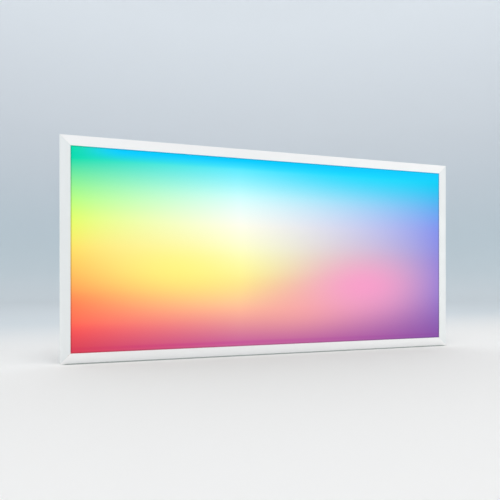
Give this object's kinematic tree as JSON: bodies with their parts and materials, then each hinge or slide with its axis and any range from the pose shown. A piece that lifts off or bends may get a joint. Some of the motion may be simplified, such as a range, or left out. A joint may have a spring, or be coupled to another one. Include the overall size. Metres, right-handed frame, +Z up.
{
  "type": "led panel light",
  "caption": "Flat edge-lit colour LED panel: white mitred frame, glowing diffuser, steel back with swing-out grid clips and a driver box with a hinged wiring door.",
  "frame": {"origin": "bottom centre of the bounding box, under the middle of the panel that stands on its long edge", "axes": "+X along the long side, +Y from the lit face to the back, +Z up the short side"},
  "size_m": [1.195, 0.043, 0.595],
  "materials": {
    "frame_paint": "satin",
    "sheet_paint": "satin",
    "bare_aluminium": "satin",
    "diffuser": "satin",
    "clear_acrylic": "gloss",
    "white_film": "satin",
    "foam": "matte",
    "strip_board": "satin",
    "rubber": "matte",
    "lead_jacket": "matte",
    "zinc_steel": "satin",
    "black_plastic": "matte",
    "grey_plastic": "matte",
    "orange_plastic": "satin",
    "circuit_board": "satin",
    "winding_tape": "satin",
    "capacitor_sleeve": "satin",
    "ferrite_choke": "satin",
    "fuse_glass": "gloss",
    "radio_can": "satin"
  },
  "bodies": {
    "panel": {"frame_top": "frame_paint", "frame_bottom": "frame_paint", "frame_left": "frame_paint", "frame_right": "frame_paint", "back_plate": "sheet_paint", "driver_tray": "sheet_paint", "driver_cover": "sheet_paint", "corner_key_bottom_left": "bare_aluminium", "corner_key_bottom_right": "bare_aluminium", "corner_key_top_right": "bare_aluminium", "corner_key_top_left": "bare_aluminium", "clip_rivet_lower_left": "bare_aluminium", "clip_rivet_upper_left": "bare_aluminium", "clip_rivet_lower_right": "bare_aluminium", "clip_rivet_upper_right": "bare_aluminium", "heat_sink": "bare_aluminium", "diffuser_plate": "diffuser", "light_guide_plate": "clear_acrylic", "reflector_sheet": "white_film", "foam_pad": "foam", "led_board_top": "strip_board", "led_board_bottom": "strip_board", "edge_bumper_left": "rubber", "edge_bumper_right": "rubber", "led_lead_top": "lead_jacket", "led_lead_bottom": "lead_jacket", "door_hinge_pin": "zinc_steel", "divider_plate": "zinc_steel", "plate_screw_1": "zinc_steel", "plate_screw_2": "zinc_steel", "plate_screw_3": "zinc_steel", "plate_screw_4": "zinc_steel", "plate_screw_5": "zinc_steel", "plate_screw_6": "zinc_steel", "plate_screw_7": "zinc_steel", "plate_screw_8": "zinc_steel", "cover_screw_1": "zinc_steel", "cover_screw_2": "zinc_steel", "inlet_bushing": "black_plastic", "knockout_plug": "black_plastic", "selector_switch": "black_plastic", "input_terminal": "grey_plastic", "output_terminal": "grey_plastic", "driver_board": "circuit_board", "transformer": "winding_tape", "bulk_capacitor": "capacitor_sleeve", "filter_choke": "ferrite_choke", "fuse": "fuse_glass", "radio_module": "radio_can"},
    "clip_lower_left": {"grid_clip_lower_left": "zinc_steel"},
    "clip_upper_left": {"grid_clip_upper_left": "zinc_steel"},
    "clip_lower_right": {"grid_clip_lower_right": "zinc_steel"},
    "clip_upper_right": {"grid_clip_upper_right": "zinc_steel"},
    "wiring_door": {"wiring_door": "sheet_paint"},
    "terminal_lever_1": {"terminal_lever_1": "orange_plastic"},
    "terminal_lever_2": {"terminal_lever_2": "orange_plastic"},
    "terminal_lever_3": {"terminal_lever_3": "orange_plastic"},
    "selector_slider_1": {"selector_slider_1": "grey_plastic"},
    "selector_slider_2": {"selector_slider_2": "grey_plastic"},
    "pair_button": {"pair_button": "grey_plastic"}
  },
  "joints": [
    {"name": "clip_lower_left_swing", "type": "hinge", "parent": "panel", "child": "clip_lower_left", "pos_m": [-0.58975, -0.0096, 0.13], "axis": [0, -1, 0], "range_deg": [0, 90]},
    {"name": "clip_upper_left_swing", "type": "hinge", "parent": "panel", "child": "clip_upper_left", "pos_m": [-0.58975, -0.0096, 0.465], "axis": [0, 1, 0], "range_deg": [0, 90]},
    {"name": "clip_lower_right_swing", "type": "hinge", "parent": "panel", "child": "clip_lower_right", "pos_m": [0.58975, -0.0096, 0.13], "axis": [0, 1, 0], "range_deg": [0, 90]},
    {"name": "clip_upper_right_swing", "type": "hinge", "parent": "panel", "child": "clip_upper_right", "pos_m": [0.58975, -0.0096, 0.465], "axis": [0, -1, 0], "range_deg": [0, 90]},
    {"name": "wiring_door_hinge", "type": "hinge", "parent": "panel", "child": "wiring_door", "pos_m": [0.103, 0.0168, 0.3509], "axis": [1, 0, 0], "range_deg": [0, 110]},
    {"name": "terminal_lever_1_hinge", "type": "hinge", "parent": "panel", "child": "terminal_lever_1", "pos_m": [0.092, 0.002, 0.306], "axis": [1, 0, 0], "range_deg": [0, 80]},
    {"name": "terminal_lever_2_hinge", "type": "hinge", "parent": "panel", "child": "terminal_lever_2", "pos_m": [0.103, 0.002, 0.306], "axis": [1, 0, 0], "range_deg": [0, 80]},
    {"name": "terminal_lever_3_hinge", "type": "hinge", "parent": "panel", "child": "terminal_lever_3", "pos_m": [0.114, 0.002, 0.306], "axis": [1, 0, 0], "range_deg": [0, 80]},
    {"name": "selector_slider_1_slide", "type": "slide", "parent": "panel", "child": "selector_slider_1", "axis": [0, 0, 1], "range_m": [0, 0.004]},
    {"name": "selector_slider_2_slide", "type": "slide", "parent": "panel", "child": "selector_slider_2", "axis": [0, 0, 1], "range_m": [0, 0.004]},
    {"name": "pair_button_press", "type": "slide", "parent": "panel", "child": "pair_button", "axis": [1, 0, 0], "range_m": [0, 0.001], "stiffness_N_per_m": 600}
  ]
}
